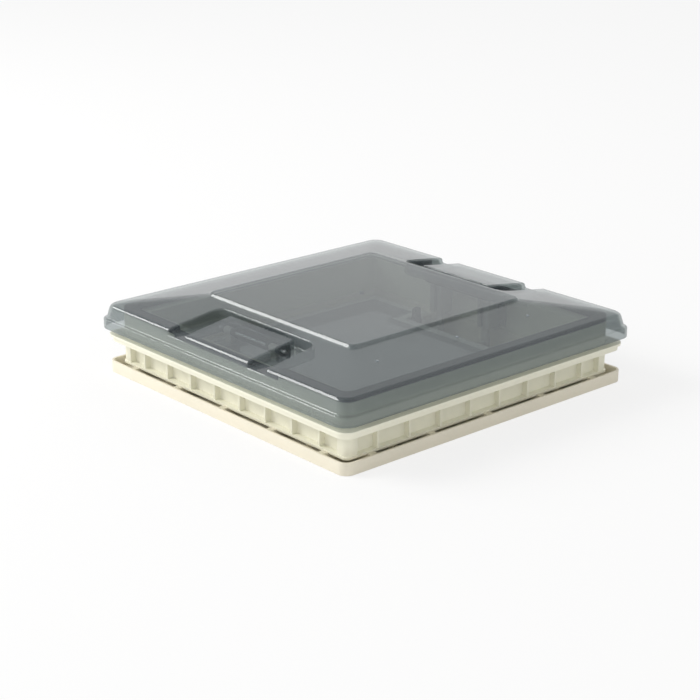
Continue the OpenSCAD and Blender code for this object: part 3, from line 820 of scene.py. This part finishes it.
class VENT_OT_make_metalwork(bpy.types.Operator):
    """Makes the hinge pins, clips, latch pins, springs and frame screws"""

    bl_idname = "vent.make_metalwork"
    bl_label = "Make Metalwork"

    def execute(self, context):
        s = context.scene.vent_parts
        steel = part_material("bright_steel", s.steel_colour, 0.28, metallic=1.0, tone=0.10, spread=0.08,
                              grain=0.00001, grain_scale=2600.0)
        spring = part_material("spring_strip", [c * 0.85 for c in s.steel_colour], 0.36, metallic=1.0,
                               tone=0.15, spread=0.1, grain=0.00001, grain_scale=2600.0)
        moulded_group(context, [
            ("front_hinge_pin", steel, "steel_pins", "dome", 0.0004, 2),
            ("rear_hinge_pin", steel, "steel_pins", "dome", 0.0004, 2),
            ("pin_clips", spring, "steel_pins", "dome", 0.0002, 1),
            ("latch_pins", steel, "steel_pins", "frame", 0.0004, 2),
            ("detent_springs", spring, "spring_steel", "frame", 0.0001, 1),
            ("frame_screws", steel, "steel_screws", "frame", 0.0004, 2),
        ])
        head = cross_head(0.003, 0.002)
        heads = bmesh.new()
        for solid in solid_boxes("guide_screws"):
            low, high = solid
            side = -1 if low.y < 0 else 1
            inner = high.y if side < 0 else low.y
            turn = Matrix.Rotation(math.radians(90 * side), 4, "X")
            spot = Vector(((low.x + high.x) / 2, inner, (low.z + high.z) / 2))
            copy = head.copy()
            bmesh.ops.transform(copy, matrix=Matrix.Translation(spot) @ turn, verts=copy.verts)
            shank = (low.y + high.y) / 2
            bmesh.ops.create_cone(
                copy, cap_ends=True, segments=20, radius1=0.0015, radius2=0.0015, depth=high.y - low.y - 0.003,
                matrix=Matrix.Translation((spot.x, shank, spot.z)) @ Matrix.Rotation(math.radians(90), 4, "X"),
            )
            append_to(heads, copy)
        head.free()
        screws = new_object("guide_screw_set", heads)
        finish_piece(screws, steel, "frame", ["guide_screws"])
        return {"FINISHED"}


def append_to(bm, other):
    """Adds other's geometry to bm and frees other."""
    mesh = bpy.data.meshes.new("part")
    other.to_mesh(mesh)
    other.free()
    bm.from_mesh(mesh)
    bpy.data.meshes.remove(mesh)


def solid_boxes(node):
    """(lowest corner, highest corner) of each separate solid of a node."""
    bm = merged_copy(node)
    boxes = []
    for island in islands(bm):
        points = [v.co for e in island for v in e.verts]
        boxes.append((
            Vector([min(p[i] for p in points) for i in range(3)]),
            Vector([max(p[i] for p in points) for i in range(3)]),
        ))
    bm.free()
    return boxes


def cross_head(radius, height):
    """Pan head with a cross recess; its top is at the origin and it points along +Z."""
    bm = bmesh.new()
    bmesh.ops.create_cone(
        bm, cap_ends=True, segments=32, radius1=radius, radius2=radius, depth=height,
        matrix=Matrix.Translation((0, 0, -height / 2)),
    )
    top = [e for e in bm.edges if all(v.co.z > -1e-6 for v in e.verts)]
    round_edges(bm, top, height * 0.45, 4)
    body = new_object("head", bm)
    cutters = []
    for turn in (0, 90):
        cut = bmesh.new()
        bmesh.ops.create_cube(
            cut, size=1.0,
            matrix=Matrix.Rotation(math.radians(turn), 4, "Z") @ Matrix.Diagonal(
                (radius * 1.05, radius * 0.24, height * 1.1, 1)
            ),
        )
        cutters.append(new_object("cross", cut))
    result = carve(body, cutters)
    discard(body, *cutters)
    return result


# ---------------------------------------------------------------- fly screen


def thread_spans(along_x, place, half, bay_x, bay_y):
    """Ends of the mesh threads at a given place: one span, cut short at the handle bays."""
    if along_x:
        return [(-half, half)] if abs(place) < bay_y else [(-half, -bay_x), (bay_x, half)]
    reach = bay_y if abs(place) < bay_x else half
    return [(-reach, reach)]


class VENT_OT_make_screen(bpy.types.Operator):
    """Makes the fly screen: its frame and its woven mesh"""

    bl_idname = "vent.make_screen"
    bl_label = "Make Screen"

    def execute(self, context):
        s = context.scene.vent_parts
        white = part_material("white_moulding", (0.84, 0.83, 0.79), 0.40, tone=0.05, grain=0.00003)
        thread = part_material("screen_thread", (0.42, 0.43, 0.43), 0.55, tone=0.25, grain=0.00001)
        rounded_copy("screen_frame", white, "screen_white", "frame", 0.0005, 2)
        low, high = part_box("screen_mesh")
        frame_low, frame_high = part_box("screen_frame")
        half = high.x - 0.0003
        bay = screen_bay()
        bm = bmesh.new()
        width = 0.00028
        count = int(half / s.mesh_pitch)
        for along_x, z in ((True, high.z - 0.0002), (False, high.z - 0.0004)):
            for k in range(-count, count + 1):
                place = k * s.mesh_pitch
                for a, b in thread_spans(along_x, place, half, *bay):
                    middle, length = (a + b) / 2, b - a
                    centre = (middle, place, z) if along_x else (place, middle, z)
                    size = (length, width, width) if along_x else (width, length, width)
                    bmesh.ops.create_cube(
                        bm, size=1.0, matrix=Matrix.Translation(centre) @ Matrix.Diagonal((*size, 1))
                    )
        mesh = new_object("screen_weave", bm)
        finish_piece(mesh, thread, "frame", ["screen_mesh"])
        return {"FINISHED"}


def screen_bay():
    """Half width of the handle bays in the mesh, and their distance from the middle."""
    verts = [v.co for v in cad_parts["screen_mesh"].data.vertices]
    high = max(v.y for v in verts)
    bay_x = min(abs(v.x) for v in verts if abs(v.y) > high - 1e-4)
    bay_y = min(abs(v.y) for v in verts if abs(abs(v.x) - bay_x) < 1e-4)
    return bay_x, bay_y


# ---------------------------------------------------------------- studio


def camera_matrix(studio):
    """Place and direction of the camera, from its angles round the origin."""
    azimuth, elevation = studio.azimuth, studio.elevation
    back = Vector((
        math.sin(azimuth) * math.cos(elevation), -math.cos(azimuth) * math.cos(elevation), math.sin(elevation)
    ))
    right = Vector((math.cos(azimuth), math.sin(azimuth), 0))
    ahead = -back
    up = back.cross(right)
    right_turned = right * math.cos(studio.pan) - ahead * math.sin(studio.pan)
    ahead_turned = right * math.sin(studio.pan) + ahead * math.cos(studio.pan)
    up_turned = up * math.cos(studio.tilt) - ahead_turned * math.sin(studio.tilt)
    ahead_last = up * math.sin(studio.tilt) + ahead_turned * math.cos(studio.tilt)
    matrix = Matrix((right_turned, up_turned, -ahead_last)).transposed().to_4x4()
    matrix.translation = back * studio.distance
    return matrix


def soften_for_camera(material, shader, share):
    """Lifts a backdrop's tone towards white where the camera sees it, by share."""
    tree = material.node_tree
    path = tree.nodes.new("ShaderNodeLightPath")
    glow = tree.nodes.new("ShaderNodeEmission")
    glow.inputs["Color"].default_value = (1.0, 1.0, 1.0, 1)
    blend = tree.nodes.new("ShaderNodeMixShader")
    link(tree, maths(tree, "MULTIPLY", path.outputs["Is Camera Ray"], share), blend.inputs[0])
    link(tree, shader.outputs[0], blend.inputs[1])
    link(tree, glow.outputs[0], blend.inputs[2])
    link(tree, blend.outputs[0], tree.nodes["Material Output"].inputs["Surface"])


def graded_sky(studio):
    """Surrounding light that is brightest at the horizon and dims overhead."""
    world = bpy.data.worlds.new("studio_light")
    world.use_nodes = True
    tree = world.node_tree
    split = tree.nodes.new("ShaderNodeSeparateXYZ")
    link(tree, tree.nodes.new("ShaderNodeTexCoord").outputs["Generated"], split.inputs[0])
    ramp = tree.nodes.new("ShaderNodeValToRGB").color_ramp
    ramp.elements[0].position, ramp.elements[0].color = 0.07, (1.0, 1.0, 1.0, 1)
    ramp.elements[1].position, ramp.elements[1].color = 1.0, (0.26, 0.265, 0.27, 1)
    for place, level in ((0.34, 0.76), (0.55, 0.74), (0.78, 0.48)):
        ramp.elements.new(place).color = (level, level, level, 1)
    shade = tree.nodes["Color Ramp"]
    link(tree, split.outputs["Z"], shade.inputs[0])
    link(tree, shade.outputs["Color"], tree.nodes["Background"].inputs["Color"])
    tree.nodes["Background"].inputs["Strength"].default_value = studio.sky
    return world


class VENT_OT_make_stage(bpy.types.Operator):
    """Sets up the floor, the lamps, the surrounding light and the camera"""

    bl_idname = "vent.make_stage"
    bl_label = "Make Stage"

    def execute(self, context):
        studio = context.scene.vent_studio
        scene = context.scene
        bm = bmesh.new()
        bmesh.ops.create_grid(bm, x_segments=1, y_segments=1, size=studio.floor_size / 2)
        floor = new_object("studio_floor", bm)
        floor.location.z = -0.0002
        plain = bpy.data.materials.new("studio_paper")
        plain.use_nodes = True
        shader = plain.node_tree.nodes["Principled BSDF"]
        shader.inputs["Base Color"].default_value = (*studio.floor_colour, 1)
        shader.inputs["Roughness"].default_value = 0.9
        shader.inputs["Specular IOR Level"].default_value = 0.1
        soften_for_camera(plain, shader, studio.floor_lift)
        floor.data.materials.append(plain)

        scene.world = graded_sky(studio)
        towards = Vector(studio.softbox_direction).normalized()
        lamp = bpy.data.lights.new("softbox", "AREA")
        lamp.shape = "SQUARE"
        lamp.size = studio.softbox_size
        lamp.energy = studio.softbox_power
        lamp.color = (1.0, 0.99, 0.97)
        softbox = bpy.data.objects.new("softbox", lamp)
        softbox.location = towards * studio.softbox_distance
        softbox.rotation_euler = towards.to_track_quat("Z", "Y").to_euler()
        scene.collection.objects.link(softbox)

        lens = bpy.data.cameras.new("studio_camera")
        lens.sensor_width = 36
        lens.lens = studio.lens
        lens.clip_start = 0.01
        camera = bpy.data.objects.new("studio_camera", lens)
        camera.matrix_world = camera_matrix(studio)
        scene.collection.objects.link(camera)
        scene.camera = camera
        scene.view_settings.view_transform = "Standard"
        return {"FINISHED"}


# ---------------------------------------------------------------- panel and start


class VENT_PT_panel(bpy.types.Panel):
    """Settings of the roof vent and a button for each group of pieces"""

    bl_label = "Roof Vent"
    bl_idname = "VENT_PT_panel"
    bl_space_type = "VIEW_3D"
    bl_region_type = "UI"
    bl_category = "Roof Vent"

    def draw(self, context):
        for group in (context.scene.vent_dome, context.scene.vent_parts, context.scene.vent_studio):
            box = self.layout.box()
            for key in group.__annotations__:
                box.prop(group, key)
        for operator in OPERATORS:
            self.layout.operator(operator.bl_idname)


GROUPS = (VentDomeSettings, VentPartSettings, VentStudioSettings)
OPERATORS = (
    VENT_OT_make_dome,
    VENT_OT_make_dome_marks,
    VENT_OT_make_frames,
    VENT_OT_make_seal,
    VENT_OT_make_handles,
    VENT_OT_make_latches,
    VENT_OT_make_metalwork,
    VENT_OT_make_screen,
    VENT_OT_make_stage,
)


def register():
    for cls in (*GROUPS, *OPERATORS, VENT_PT_panel):
        bpy.utils.register_class(cls)
    bpy.types.Scene.vent_dome = PointerProperty(type=VentDomeSettings)
    bpy.types.Scene.vent_parts = PointerProperty(type=VentPartSettings)
    bpy.types.Scene.vent_studio = PointerProperty(type=VentStudioSettings)


def unregister():
    del bpy.types.Scene.vent_studio
    del bpy.types.Scene.vent_parts
    del bpy.types.Scene.vent_dome
    for cls in (VENT_PT_panel, *reversed(OPERATORS), *reversed(GROUPS)):
        bpy.utils.unregister_class(cls)


def main():
    register()
    bpy.ops.vent.make_dome()
    bpy.ops.vent.make_dome_marks()
    bpy.ops.vent.make_frames()
    bpy.ops.vent.make_seal()
    bpy.ops.vent.make_handles()
    bpy.ops.vent.make_latches()
    bpy.ops.vent.make_metalwork()
    bpy.ops.vent.make_screen()
    bpy.ops.vent.make_stage()


if __name__ == "__main__":
    main()
